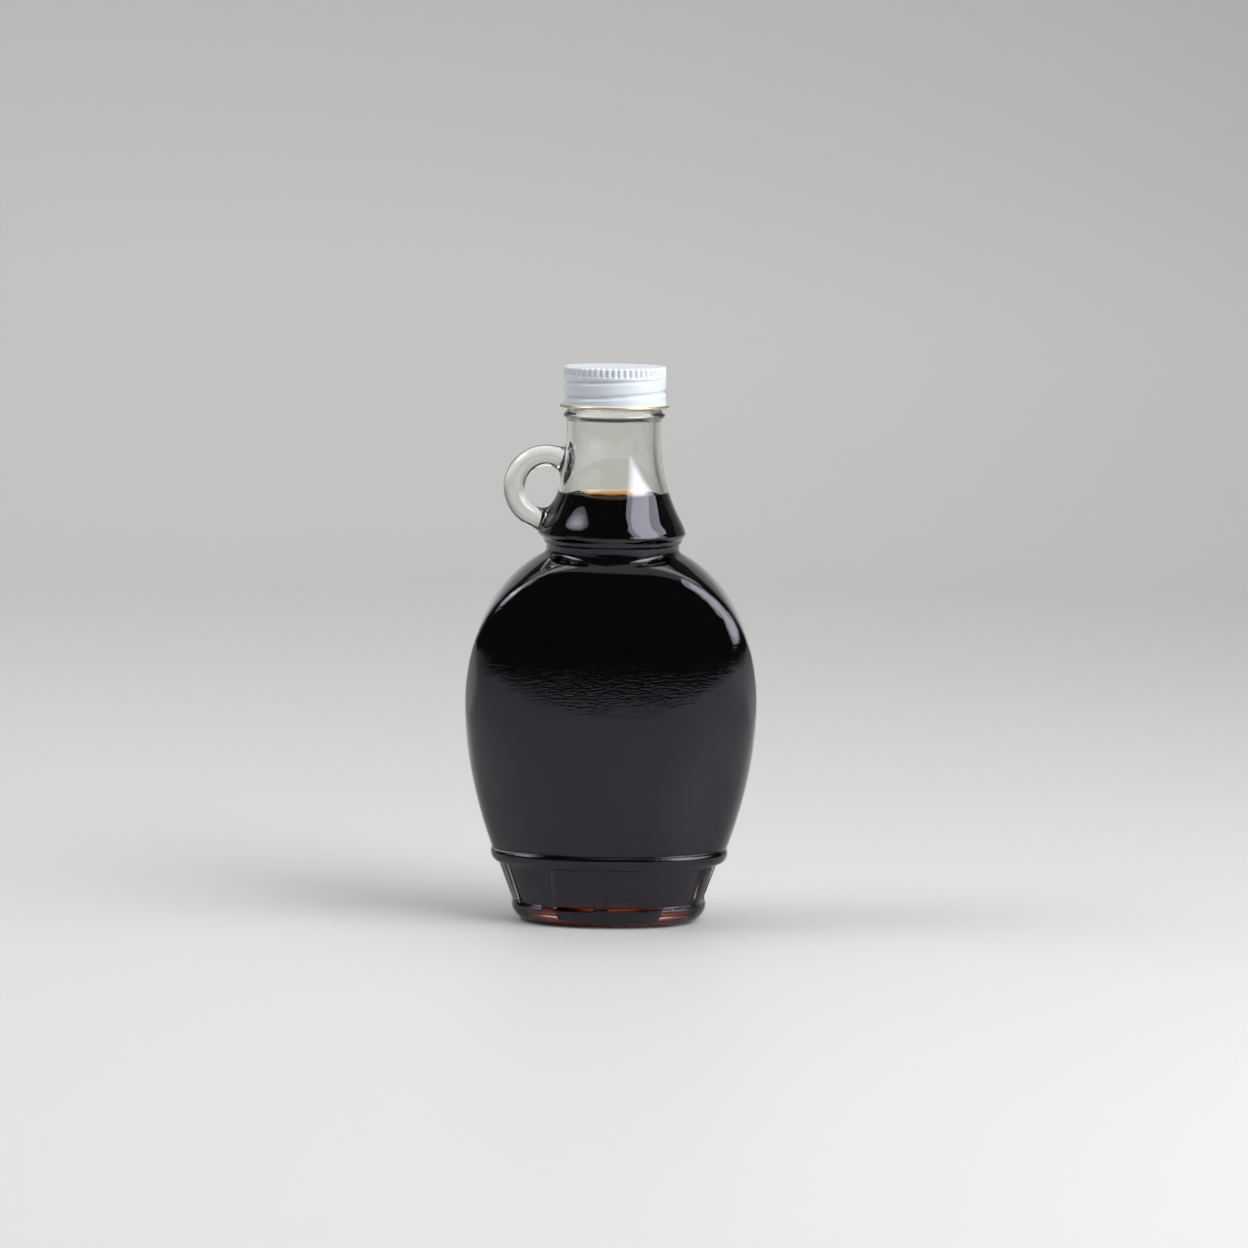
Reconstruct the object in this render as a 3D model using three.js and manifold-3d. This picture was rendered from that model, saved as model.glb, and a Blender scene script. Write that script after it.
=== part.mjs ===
// A glass syrup flask: oval body, fluted heel, loop handle at the neck, screw cap, filled with dark syrup.
// Millimetres, +Z up. Origin at the middle of the base. The front panel faces -Y and the handle is at -X.

import * as THREE from "three";
import { mergeVertices } from "three/addons/utils/BufferGeometryUtils.js";
import Module from "manifold-3d";

const wasm = await Module();
wasm.setup();

// Body, seen from the front: two squared ovals share the widest height, one for the outline at the middle
// of the depth, and one for the ridge round the front and back panels
const widestZ = 60;
const bodyHalfWidth = 40.75;
const outlineRise = 48;
const outlineSquareness = 2.2;
const ridgeHalfWidth = 40.2;
const ridgeRise = 41;
const ridgeSquareness = 2.6;
const ridgeHalfDepth = 20;

// Below the widest height the outline draws in to the heel ring
const ringZ = 19.4;
const bodyFootZ = 20.6;
const bodyFootHalfWidth = 33.1;
const drawInPower = 1.9;

// Body, seen from the side: the panels bulge, and bow a little from left to right
const panelHalfDepth = 24.8;
const panelTopHalfDepth = 20.9;
const panelFootHalfDepth = 19.6;
const panelBowRadius = 230;

// How square the corner between panel and rim is: an oval near the heel, a crisp ridge at the shoulder
const heelCorner = 2.35;
const shoulderCorner = 24;
const cornerFromZ = 34;
const cornerToZ = 80;

// Heel ring, the fluted band under it and the foot bead
const ringHalfWidth = 33.4;
const ringHalfDepth = 20.4;
const bandTopZ = 16.7;
const bandTopHalfWidth = 31.4;
const bandTopHalfDepth = 19.2;
const bandFootZ = 5.9;
const bandFootHalfWidth = 27.3;
const bandFootHalfDepth = 18.2;
const footBeadOut = 0.1;
const footBeadTopZ = 5.2;
const footEdgeHeight = 4.8;
const footEdgeAcross = 5.2;
const footEdgeDeep = 3.6;
const heelSquareness = 2.3;
const bearingRingWidth = 3.6;
const pushUp = 5;

// Flutes: flat recessed panels between narrow ribs, one rib at the middle of the front
const fluteCount = 10;
const fluteTurn = 0.633;
const ribWidthShare = 0.22;
const ribSlopeShare = 0.05;
const fluteDepth = 1.2;
const fluteTopZ = 16.9;
const fluteFootZ = 4.9;

// Neck: a groove over the body, a flared skirt, the slim neck, the transfer bead and the screw finish
const neckFromZ = 99;
const grooveZ = 105;
const grooveRadius = 18.6;
const skirtLipZ = 109.4;
const skirtLipRadius = 20.4;
const skirtLipSpare = 0.15;
const skirtLipRounding = 1.6;
const skirtTopZ = 136;
const neckRadius = 13.15;
const skirtFlare = 7.8;
const skirtPower = 2.15;
const neckFillet = 1.6;
const transferBeadZ = 142.2;
const transferBeadOut = 1.05;
const transferBeadHalfHeight = 1.5;
const finishFromZ = 144.4;
const finishRadius = 12.6;
const finishTopZ = 154.6;
const finishEdge = 0.6;
const threadPitch = 4.23;
const glassThreadOut = 0.5;
const glassThreadHalfHeight = 1.1;

// Glass thickness. The heel's two sides are thicker than the panels, most of all at the top of the band
const bodyWall = 2.7;
const heelSideTop = 5.1;
const heelSideTaper = 4.9;
const heelSideBlend = 0.3;
const neckWall = 2.1;
const floorZ = 3.4;
const floorRise = 4.2;
const floorCornerRadius = 2;
const insideSkirtRadius = 17.2;
const insideCorner = 6;

// Loop handle: a round rod bent into a ring and fused to the neck and the skirt
const handleX = -18.8;
const handleZ = 121.8;
const handleRingRadius = 8.9;
const handleRodRadius = 2.95;

// Syrup: stands clear of the glass by this gap
const gap = 0.3;
const syrupLevelZ = 117.9;

// Cap: thin metal, knurled at the top, with one rolled thread groove and a curled hem
const capFootZ = 144.3;
const capTopZ = 155.8;
const capRadius = 14.3;
const capEdge = 0.8;
const capInsideRadius = 13.45;
const knurlCount = 54;
const knurlDepth = 0.3;
const knurlTopZ = 155;
const knurlFootZ = 152.8;
const capGrooveDepth = 0.65;
const capGrooveHalfHeight = 1;
const capGrooveZ = 148.9;
const hemRadius = 15.3;
const hemHeight = 1.5;

// Mesh steps
const slopeStep = 0.05;
const bodySides = 60;
const neckSides = 30;
const capSides = 54;

const clamp01 = (t) => Math.min(1, Math.max(0, t));
const mix = (a, b, t) => a + (b - a) * t;
const smooth = (t) => clamp01(t) ** 2 * (3 - 2 * clamp01(t));
const roundOff = (t) => 1 - Math.sqrt(1 - clamp01(t) ** 2);
const bump = (t) => (Math.abs(t) < 1 ? (1 + Math.cos(Math.PI * t)) / 2 : 0);

function softMax(a, b, width) {
  const overlap = Math.max(width - Math.abs(a - b), 0);
  return Math.max(a, b) + (overlap * overlap) / (4 * width);
}

function softMin(a, b, width) {
  return -softMax(-a, -b, width);
}

// Distance from the axis to a squared oval, in the direction of an angle
function ovalRadius(angle, halfWidth, halfDepth, squareness) {
  const x = Math.abs(Math.cos(angle)) / halfWidth;
  const y = Math.abs(Math.sin(angle)) / halfDepth;
  return (x ** squareness + y ** squareness) ** (-1 / squareness);
}

function panelDepth(x, z) {
  const above = z > widestZ;
  const edgeZ = above ? widestZ + ridgeRise : bodyFootZ;
  const edgeDepth = above ? panelTopHalfDepth : panelFootHalfDepth;
  const away = (z - widestZ) / (edgeZ - widestZ);
  return mix(panelHalfDepth, edgeDepth, away ** 2) - x ** 2 / (2 * panelBowRadius);
}

// Under 1 inside the body, 1 on its surface. Inset moves the whole surface inwards, for the cavity
function bodyField(x, y, z, inset) {
  const depthShare = (y / ridgeHalfDepth) ** 2;
  const halfWidth = mix(bodyHalfWidth, ridgeHalfWidth, depthShare) - inset;
  let rim;
  if (z > widestZ) {
    const rise = Math.max(mix(outlineRise, ridgeRise, depthShare) - inset, 1);
    const power = mix(outlineSquareness, ridgeSquareness, depthShare);
    rim = ((Math.abs(x) / halfWidth) ** power + ((z - widestZ) / rise) ** power) ** (1 / power);
  } else {
    const drawIn = ((widestZ - z) / (widestZ - bodyFootZ)) ** drawInPower;
    rim = Math.abs(x) / (halfWidth - (bodyHalfWidth - bodyFootHalfWidth) * drawIn);
  }
  const panel = Math.abs(y) / (panelDepth(x, z) - inset);
  const sharpened = smooth((z - cornerFromZ) / (cornerToZ - cornerFromZ));
  const corner = 1 / mix(1 / heelCorner, 1 / shoulderCorner, sharpened);
  const softened = inset > 0 ? Math.min(corner, insideCorner) : corner;
  return (rim ** softened + panel ** softened) ** (1 / softened);
}

function bodyRadius(angle, z, inset = 0) {
  const [c, s] = [Math.cos(angle), Math.sin(angle)];
  if (bodyField(0, 0, z, inset) >= 1) return 0;
  let [near, far] = [0, bodyHalfWidth + 1];
  for (let i = 0; i < 40; i++) {
    const middle = (near + far) / 2;
    if (bodyField(middle * c, middle * s, z, inset) < 1) near = middle;
    else far = middle;
  }
  return near;
}

// The same length of the band's edge lies in each flute, so a point's place along that edge is needed
const arcAngles = [];
const arcSteps = 1440;
for (let i = 0, length = 0, last = null; i <= arcSteps; i++) {
  const angle = -Math.PI / 2 + (2 * Math.PI * i) / arcSteps;
  const r = ovalRadius(angle, bandTopHalfWidth, bandTopHalfDepth, heelSquareness);
  const point = new THREE.Vector2(r * Math.cos(angle), r * Math.sin(angle));
  if (last) length += point.distanceTo(last);
  arcAngles.push({ angle, length });
  last = point;
}
const bandLength = arcAngles.at(-1).length;

function angleAtShare(share) {
  const wanted = share * bandLength;
  const next = Math.max(1, arcAngles.findIndex((entry) => entry.length >= wanted));
  const [a, b] = [arcAngles[next - 1], arcAngles[next]];
  return mix(a.angle, b.angle, (wanted - a.length) / (b.length - a.length));
}

function fluteCut(share, z) {
  const place = Math.abs(((share * fluteCount + fluteTurn) % 1) - 0.5);
  const across = smooth((place - ribWidthShare / 2) / ribSlopeShare);
  const up = smooth((fluteTopZ - z) / 0.5) * smooth((z - fluteFootZ) / 0.9);
  return fluteDepth * across * up;
}

// Half width and half depth of the heel below the body, the flutes left out
function heelSize(z) {
  if (z > bandTopZ) {
    const under = roundOff((ringZ - z) / (ringZ - bandTopZ));
    return [mix(ringHalfWidth, bandTopHalfWidth, under), mix(ringHalfDepth, bandTopHalfDepth, under)];
  }
  const down = (bandTopZ - z) / (bandTopZ - bandFootZ);
  const bead = footBeadOut * smooth((bandFootZ - z) / (bandFootZ - footBeadTopZ));
  const edge = roundOff((footEdgeHeight - z) / footEdgeHeight);
  return [
    mix(bandTopHalfWidth, bandFootHalfWidth, Math.min(down, 1)) + bead - footEdgeAcross * edge,
    mix(bandTopHalfDepth, bandFootHalfDepth, Math.min(down, 1)) + bead - footEdgeDeep * edge,
  ];
}

function glassThread(angle, z) {
  const turn = angle / (2 * Math.PI);
  const away = ((z - capGrooveZ - threadPitch * (turn + 0.5)) / threadPitch) % 1;
  const nearest = Math.abs(away) > 0.5 ? 1 - Math.abs(away) : Math.abs(away);
  const ends = smooth((z - finishFromZ - 0.9) / 0.8) * smooth((finishTopZ - 1 - z) / 0.8);
  return glassThreadOut * ends * bump((nearest * threadPitch) / glassThreadHalfHeight);
}

function skirtRadius(z) {
  return neckRadius + skirtFlare * clamp01((skirtTopZ - z) / (skirtTopZ - skirtLipZ)) ** skirtPower;
}

function neckOutside(angle, z) {
  if (z < skirtLipZ) {
    const up = clamp01((z - grooveZ) / (skirtLipZ - grooveZ));
    return mix(grooveRadius, skirtLipRadius, (1 - Math.cos(Math.PI * up)) / 2);
  }
  if (z > finishFromZ) {
    const edge = finishEdge * roundOff((z - finishTopZ + finishEdge) / finishEdge);
    return finishRadius + glassThread(angle, z) - edge;
  }
  const bead = transferBeadOut * bump((z - transferBeadZ) / transferBeadHalfHeight);
  return softMin(skirtRadius(z), skirtLipRadius + skirtLipSpare, skirtLipRounding) + bead;
}

function outsideRadius(share, angle, z) {
  if (z < ringZ) return ovalRadius(angle, ...heelSize(z), heelSquareness) - fluteCut(share, z);
  const body = bodyRadius(angle, z);
  if (z > neckFromZ) return softMax(body, neckOutside(angle, z), neckFillet);
  if (z > bodyFootZ) return body;
  const over = roundOff((z - ringZ) / (bodyFootZ - ringZ));
  return Math.max(body, ovalRadius(angle, ringHalfWidth - over, ringHalfDepth - over, heelSquareness));
}

function insideRadius(angle, z) {
  const neck = softMin(skirtRadius(z) - neckWall, insideSkirtRadius, 1.5);
  if (z > neckFromZ) return softMax(bodyRadius(angle, z, bodyWall), neck, 2 * neckFillet);
  const corner = floorCornerRadius * roundOff((floorZ + floorCornerRadius - z) / floorCornerRadius);
  if (z > bodyFootZ) return bodyRadius(angle, z, bodyWall) - corner;
  const down = (bodyFootZ - z) / (bodyFootZ - bandFootZ);
  const sideWall = bodyWall + (heelSideTop - heelSideTaper * down) * smooth(down / heelSideBlend);
  const halfWidth = mix(bodyFootHalfWidth, bandFootHalfWidth, down) - sideWall;
  const halfDepth = mix(panelFootHalfDepth, bandFootHalfDepth, down) - bodyWall;
  return ovalRadius(angle, halfWidth, halfDepth, heelCorner) - corner;
}

function ring(sides, z, radiusAt) {
  const points = [];
  for (let i = 0; i < sides; i++) {
    const angle = angleAtShare(i / sides);
    const r = radiusAt(angle, i / sides);
    points.push([r * Math.cos(angle), r * Math.sin(angle), z]);
  }
  return points;
}

// Joins rings, from a pole under the first to a pole over the last, into one closed mesh. Neighbouring
// rings have as many points as each other, or twice as many
function loft(rings, footZ, topZ) {
  const positions = [];
  const faces = [];
  const starts = rings.map((points) => {
    const start = positions.length / 3;
    positions.push(...points.flat());
    return start;
  });
  const pole = (z) => positions.push(0, 0, z) / 3 - 1;
  const foot = pole(footZ);
  const top = pole(topZ);
  const wrap = (i, k) => starts[i] + (k % rings[i].length);
  for (let k = 0; k < rings[0].length; k++) faces.push(foot, wrap(0, k + 1), wrap(0, k));
  for (let i = 0; i + 1 < rings.length; i++) {
    const [lower, upper] = [rings[i].length, rings[i + 1].length];
    for (let k = 0; k < Math.max(lower, upper); k++) {
      const halves = lower === upper ? null : k % 2;
      if (halves === null) {
        faces.push(wrap(i, k), wrap(i, k + 1), wrap(i + 1, k + 1));
        faces.push(wrap(i, k), wrap(i + 1, k + 1), wrap(i + 1, k));
      } else if (lower > upper) {
        const j = Math.floor(k / 2) + halves;
        faces.push(wrap(i, k), wrap(i, k + 1), wrap(i + 1, j));
        if (halves) faces.push(wrap(i, k), wrap(i + 1, j), wrap(i + 1, j - 1));
      } else {
        const j = Math.floor(k / 2) + halves;
        faces.push(wrap(i + 1, k + 1), wrap(i + 1, k), wrap(i, j));
        if (halves) faces.push(wrap(i + 1, k), wrap(i, j - 1), wrap(i, j));
      }
    }
  }
  const last = rings.length - 1;
  for (let k = 0; k < rings[last].length; k++) faces.push(top, wrap(last, k), wrap(last, k + 1));
  const geometry = new THREE.BufferGeometry();
  geometry.setAttribute("position", new THREE.Float32BufferAttribute(positions, 3));
  geometry.setIndex(faces);
  return geometry;
}

function toSolid(geometry) {
  const bare = geometry.clone();
  bare.deleteAttribute("normal");
  bare.deleteAttribute("uv");
  const merged = mergeVertices(bare, 1e-4);
  return new wasm.Manifold(
    new wasm.Mesh({
      numProp: 3,
      vertProperties: new Float32Array(merged.attributes.position.array),
      triVerts: new Uint32Array(merged.index.array),
    }),
  );
}

function toGeometry(solid) {
  const mesh = solid.getMesh();
  const geometry = new THREE.BufferGeometry();
  geometry.setAttribute("position", new THREE.Float32BufferAttribute(mesh.vertProperties, 3));
  geometry.setIndex(Array.from(mesh.triVerts));
  geometry.computeVertexNormals();
  return geometry;
}

function evenly(from, to, count) {
  return Array.from({ length: count }, (_, i) => mix(from, to, i / (count - 1)));
}

function bottleOutside() {
  const [footHalfWidth, footHalfDepth] = heelSize(0);
  const flat = (inset, z) =>
    ring(bodySides, z, (angle) => {
      return ovalRadius(angle, footHalfWidth - inset, footHalfDepth - inset, heelSquareness);
    });
  const heelLevels = [0, 0.6, 1.8, 3.2, 4.4, 5.2, 5.9, 7, 15.9, 16.5, 16.9, 17.6, 18.6];
  const lowLevels = [19.4, 20.1, 20.6, 21.4];
  const bodyLevels = [...evenly(26, 96, 12), 98, 99.4, 100.4, 101.2, 102, 102.9, 103.8];
  const neckLevels = [105, 106.4, 107.6, 108.6, 109.4, 110.4, 111.6, ...evenly(114, 136, 8), 140.7];
  const finishLevels = [141.4, 142.2, 143, 143.7, 144.4, 145.2, ...evenly(146, 153.4, 9), 154.2, 154.6];
  const levels = (sides, heights) =>
    heights.map((z) => ring(sides, z, (angle, share) => outsideRadius(share, angle, z)));
  const rings = [
    flat(bearingRingWidth + 9, 0.96 * pushUp),
    flat(bearingRingWidth + 5, 0.72 * pushUp),
    flat(bearingRingWidth + 2, 0.3 * pushUp),
    flat(bearingRingWidth, 0),
    ...levels(bodySides, [...heelLevels, ...lowLevels, ...bodyLevels]),
    ...levels(neckSides, [...neckLevels, ...finishLevels]),
  ];
  return loft(rings, pushUp, finishTopZ);
}

// The inside radius less a gap measured square to the glass, whose slope makes it wider along the radius
function clearRadius(angle, z, clearance) {
  const radius = insideRadius(angle, z);
  if (clearance === 0) return radius;
  const slope = (insideRadius(angle, z + slopeStep) - insideRadius(angle, z - slopeStep)) / (2 * slopeStep);
  return radius - clearance * Math.hypot(1, slope);
}

// The inside of the glass, up to a height, with a gap to it for what fills it
function insideForm(topZ, clearance) {
  const low = floorZ + clearance;
  const corner = [0.02, 0.5, 1.4, 2.8, 4.6].map((up) => low + up);
  const body = [...evenly(12.5, 94, 11), 97, 99.5, 101.5, 103.5, 105.5, 108, 111];
  const neck = evenly(114, Math.min(topZ, skirtTopZ), topZ > skirtTopZ ? 7 : 3);
  const levels = [...corner, ...body, ...neck, ...(topZ > skirtTopZ ? [topZ] : [])];
  const rings = levels.map((z) => ring(neckSides, z, (angle) => clearRadius(angle, z, clearance)));
  const raised = (share, up) =>
    ring(neckSides, low + up * floorRise, (angle) => share * clearRadius(angle, levels[0], clearance));
  return loft([raised(0.4, 0.9), raised(0.75, 0.45), ...rings], low + floorRise, topZ);
}

function handleForm() {
  const geometry = new THREE.TorusGeometry(handleRingRadius, handleRodRadius, 12, 28);
  return geometry.rotateX(Math.PI / 2).translate(handleX, 0, handleZ);
}

function makeBottle() {
  const glass = new THREE.MeshStandardMaterial({ color: 0xdfe2da, roughness: 0.04, metalness: 0 });
  glass.transparent = true;
  glass.opacity = 0.35;
  const outside = toSolid(bottleOutside());
  const cavity = toSolid(insideForm(finishTopZ + 1, 0));
  const solid = outside.add(toSolid(handleForm())).subtract(cavity);
  const bottle = new THREE.Mesh(toGeometry(solid), glass);
  bottle.name = "bottle";
  return bottle;
}

function makeSyrup() {
  const dark = new THREE.MeshStandardMaterial({ color: 0x24110a, roughness: 0.05, metalness: 0 });
  const syrup = new THREE.Mesh(insideForm(syrupLevelZ, gap), dark);
  syrup.name = "syrup";
  return syrup;
}

function capOutside(angle, z) {
  const edge = capEdge * roundOff((z - capTopZ + capEdge) / capEdge);
  const turn = (angle / (2 * Math.PI) + 1) % 1;
  const along = (z - capGrooveZ) / threadPitch - turn;
  const nearest = Math.abs(along - Math.round(along)) * threadPitch;
  const within = smooth((z - capFootZ - hemHeight) / 0.8) * smooth((knurlFootZ - z) / 0.6);
  return capRadius - edge - capGrooveDepth * within * bump(nearest / capGrooveHalfHeight);
}

function makeCap() {
  const enamel = new THREE.MeshStandardMaterial({ color: 0xe6e9ee, roughness: 0.35, metalness: 0 });
  const around = (sides, radiusAt, z) => ring(sides, z, (angle, share) => radiusAt(angle, z, share));
  const plain = (radius) => () => radius;
  const knurled = (angle, z, share) =>
    capOutside(angle, z) - knurlDepth * (Math.round(share * 2 * knurlCount) % 2);
  const insideTopZ = finishTopZ + gap;
  const hemMiddle = capFootZ + hemHeight / 2;
  const hemOut = (share) => plain(mix(capInsideRadius + 0.6, hemRadius, share));
  const rings = [
    around(capSides, plain(capInsideRadius), insideTopZ),
    around(capSides, plain(capInsideRadius), capFootZ + 0.2),
    around(capSides, hemOut(0), capFootZ),
    around(capSides, hemOut(0.7), capFootZ + 0.15),
    around(capSides, hemOut(1), hemMiddle),
    around(capSides, hemOut(0.7), capFootZ + hemHeight - 0.15),
    ...evenly(capFootZ + hemHeight, knurlFootZ, 8).map((z) => around(capSides, capOutside, z)),
    around(2 * knurlCount, knurled, knurlFootZ + 0.25),
    around(2 * knurlCount, knurled, knurlTopZ - 0.25),
    around(capSides, capOutside, knurlTopZ),
    around(capSides, capOutside, capTopZ - 0.3),
    around(capSides, capOutside, capTopZ),
  ];
  const cap = new THREE.Mesh(loft(rings, insideTopZ, capTopZ), enamel);
  cap.name = "cap";
  return cap;
}

const group = new THREE.Group();
group.add(makeBottle(), makeSyrup(), makeCap());

export default group;
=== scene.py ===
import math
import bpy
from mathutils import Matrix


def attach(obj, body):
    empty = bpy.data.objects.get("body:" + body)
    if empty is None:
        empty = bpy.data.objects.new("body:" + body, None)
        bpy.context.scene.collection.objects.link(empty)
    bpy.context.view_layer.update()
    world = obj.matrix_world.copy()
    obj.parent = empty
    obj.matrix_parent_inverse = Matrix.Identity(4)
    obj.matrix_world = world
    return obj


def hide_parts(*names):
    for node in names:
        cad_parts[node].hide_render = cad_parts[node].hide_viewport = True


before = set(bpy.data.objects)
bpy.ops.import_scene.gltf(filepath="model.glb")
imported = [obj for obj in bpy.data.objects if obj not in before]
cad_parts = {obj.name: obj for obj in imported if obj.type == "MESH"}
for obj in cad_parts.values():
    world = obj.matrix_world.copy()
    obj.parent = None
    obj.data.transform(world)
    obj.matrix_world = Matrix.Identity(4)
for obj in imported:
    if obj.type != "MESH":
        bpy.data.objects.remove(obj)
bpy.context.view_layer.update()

# A glass flask of dark table syrup with a white screw cap. Sizes in the dictionaries of the bottle, the syrup
# and the cap are millimetres. The studio's places and sizes are metres.
from types import SimpleNamespace

import bpy
import numpy as np
from mathutils import Euler, Matrix

mm = 0.001


# Small shaping rules, shared by the glass, the syrup and the cap
def clamp01(t):
    return np.clip(t, 0.0, 1.0)


def mix(a, b, t):
    return a + (b - a) * t


def smooth(t):
    t = clamp01(t)
    return t * t * (3 - 2 * t)


def roundOff(t):
    return 1 - np.sqrt(1 - clamp01(t) ** 2)


def swell(t):
    return np.where(np.abs(t) < 1, (1 + np.cos(np.pi * t)) / 2, 0.0)


def softMax(a, b, width):
    overlap = np.maximum(width - np.abs(a - b), 0)
    return np.maximum(a, b) + overlap * overlap / (4 * width)


def softMin(a, b, width):
    return -softMax(-a, -b, width)


def linearColour(hexColour, alpha=1.0):
    parts = [int(hexColour[i:i + 2], 16) / 255 for i in (1, 3, 5)]
    return (*(c / 12.92 if c <= 0.04045 else ((c + 0.055) / 1.055) ** 2.4 for c in parts), alpha)


def addNode(tree, kind, links=None, **settings):
    node = tree.nodes.new(kind)
    for name, value in settings.items():
        setattr(node, name, value)
    for key, value in (links or {}).items():
        if isinstance(value, bpy.types.NodeSocket):
            tree.links.new(value, node.inputs[key])
        else:
            node.inputs[key].default_value = value
    return node


def newMaterial(name):
    material = bpy.data.materials.new(name)
    material.use_nodes = True
    material.node_tree.nodes.clear()
    return material, material.node_tree


def meshObject(name, points, faces, materials=()):
    mesh = bpy.data.meshes.new(name)
    mesh.from_pydata(np.asarray(points).tolist(), [], faces)
    for material in materials:
        mesh.materials.append(material)
    mesh.polygons.foreach_set("use_smooth", [True] * len(mesh.polygons))
    mesh.update()
    piece = bpy.data.objects.new(name, mesh)
    bpy.context.scene.collection.objects.link(piece)
    return piece


def loftFaces(ringCount, sides):
    # rings of equal length, with a pole point under the first and one over the last
    foot, top = ringCount * sides, ringCount * sides + 1
    k = np.arange(sides)
    nextK = (k + 1) % sides
    faces = [(foot, b, a) for a, b in zip(k.tolist(), nextK.tolist())]
    for i in range(ringCount - 1):
        a, b = i * sides + k, i * sides + nextK
        faces += np.stack([a, b, b + sides, a + sides], axis=1).tolist()
    last = (ringCount - 1) * sides
    faces += [(top, last + a, last + b) for a, b in zip(k.tolist(), nextK.tolist())]
    return faces


def evaluatedMesh(piece):
    # the modifiers' result as a plain mesh on the same object
    result = bpy.data.meshes.new_from_object(piece.evaluated_get(bpy.context.evaluated_depsgraph_get()))
    piece.modifiers.clear()
    old = piece.data
    piece.data = result
    bpy.data.meshes.remove(old)
    return piece


def addTreeModifier(piece, tree, values):
    modifier = piece.modifiers.new(tree.name, "NODES")
    modifier.node_group = tree
    sockets = {s.name: s.identifier for s in tree.interface.items_tree if s.in_out == "INPUT"}
    for name, value in values.items():
        modifier[sockets[name]] = value
    return modifier


def newTree(name, inputs):
    tree = bpy.data.node_groups.new(name, "GeometryNodeTree")
    tree.interface.new_socket("Geometry", in_out="INPUT", socket_type="NodeSocketGeometry")
    for socketName, kind in inputs.items():
        tree.interface.new_socket(socketName, in_out="INPUT", socket_type=kind)
    tree.interface.new_socket("Geometry", in_out="OUTPUT", socket_type="NodeSocketGeometry")
    return tree, addNode(tree, "NodeGroupInput"), addNode(tree, "NodeGroupOutput")


def closeTree(tree, geometry, result, material, hemMaterial=None):
    whole = addNode(tree, "GeometryNodeRealizeInstances", {"Geometry": geometry})
    painted = addNode(tree, "GeometryNodeSetMaterial", {"Geometry": whole.outputs[0], "Material": material})
    if hemMaterial:
        hem = addNode(tree, "GeometryNodeInputNamedAttribute", {"Name": "hem"}, data_type="BOOLEAN")
        painted = addNode(tree, "GeometryNodeSetMaterial",
                          {"Geometry": painted.outputs[0], "Selection": hem.outputs["Attribute"],
                           "Material": hemMaterial})
    tree.links.new(painted.outputs[0], result.inputs[0])
    return tree


# The glass, its flutes and its handle
bottleSizes = {
    "widestZ": 60, "bodyHalfWidth": 40.75, "outlineRise": 48, "outlineSquareness": 2.2,
    "ridgeHalfWidth": 40.2, "ridgeRise": 41, "ridgeSquareness": 2.6, "ridgeHalfDepth": 20,
    "ringZ": 19.4, "bodyFootZ": 20.6, "bodyFootHalfWidth": 33.1, "drawInPower": 1.9,
    "panelHalfDepth": 24.8, "panelTopHalfDepth": 20.9, "panelFootHalfDepth": 19.6, "panelBowRadius": 230,
    "heelCorner": 2.35, "shoulderCorner": 24, "cornerFromZ": 34, "cornerToZ": 80, "insideCorner": 6,
    "ringHalfWidth": 33.4, "ringHalfDepth": 20.4,
    "bandTopZ": 16.7, "bandTopHalfWidth": 31.4, "bandTopHalfDepth": 19.2,
    "bandFootZ": 5.9, "bandFootHalfWidth": 27.3, "bandFootHalfDepth": 18.2,
    "footBeadOut": 0.1, "footBeadTopZ": 5.2, "footEdgeHeight": 4.8, "footEdgeAcross": 5.2, "footEdgeDeep": 3.6,
    "heelSquareness": 2.3, "bearingRingWidth": 3.6, "pushUp": 5, "pushUpRun": 10.5, "pushUpFrom": 0.4,
    "neckFromZ": 99, "grooveZ": 105, "grooveRadius": 18.6, "skirtLipZ": 109.4, "skirtLipRadius": 20.4,
    "skirtLipSpare": 0.15, "skirtLipRounding": 1.6, "skirtTopZ": 136, "neckRadius": 13.15, "skirtFlare": 7.8,
    "skirtPower": 2.15, "neckFillet": 1.6,
    "beadZ": 142.2, "beadOut": 1.05, "beadHalfHeight": 1.5,
    "finishFromZ": 144.4, "finishRadius": 12.6, "finishTopZ": 154.6, "finishEdge": 0.6,
    "threadPitch": 4.23, "threadOut": 0.5, "threadHalfHeight": 1.1, "threadZ": 148.9,
    "threadAboveBead": 0.9, "threadUnderTop": 1, "threadEnd": 0.8,
    "bodyWall": 2.7, "neckWall": 2.1, "insideSkirtRadius": 17.2, "insideSkirtRounding": 1.5,
    "heelSideTop": 5.1, "heelSideTaper": 4.9, "heelSideBlend": 0.3,
    "floorZ": 3.4, "floorRise": 4.2, "floorCornerRadius": 2, "aboveFloor": 0.02, "overMouth": 1,
}
b = SimpleNamespace(**bottleSizes)
# one rib stands near the middle of the front. Rib width and slope are shares of the flutes' pitch
fluteSizes = {"Count": 10.0, "Turn": 0.633, "Rib width": 0.22, "Rib slope": 0.03, "Depth": 1.2,
              "Top": 16.9, "Top run": 0.5, "Foot": 4.9, "Foot run": 0.9}
# points of the glass from the middle of a rib to the middle of a flute, in pitches: close at the rib's edge
ribPoints = [0, 0.06, 0.105, 0.115, 0.125, 0.135, 0.145, 0.2, 0.28, 0.38, 0.5]
handleSizes = {"Centre X": -18.8, "Centre Z": 121.8, "Ring radius": 8.9, "Rod radius": 2.95}
handleSides = {"along": 150, "around": 44}
jointSizes = {"softness": 3.4, "reach": 0.4, "maxX": -8, "fromZ": 106, "toZ": 137}
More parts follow.
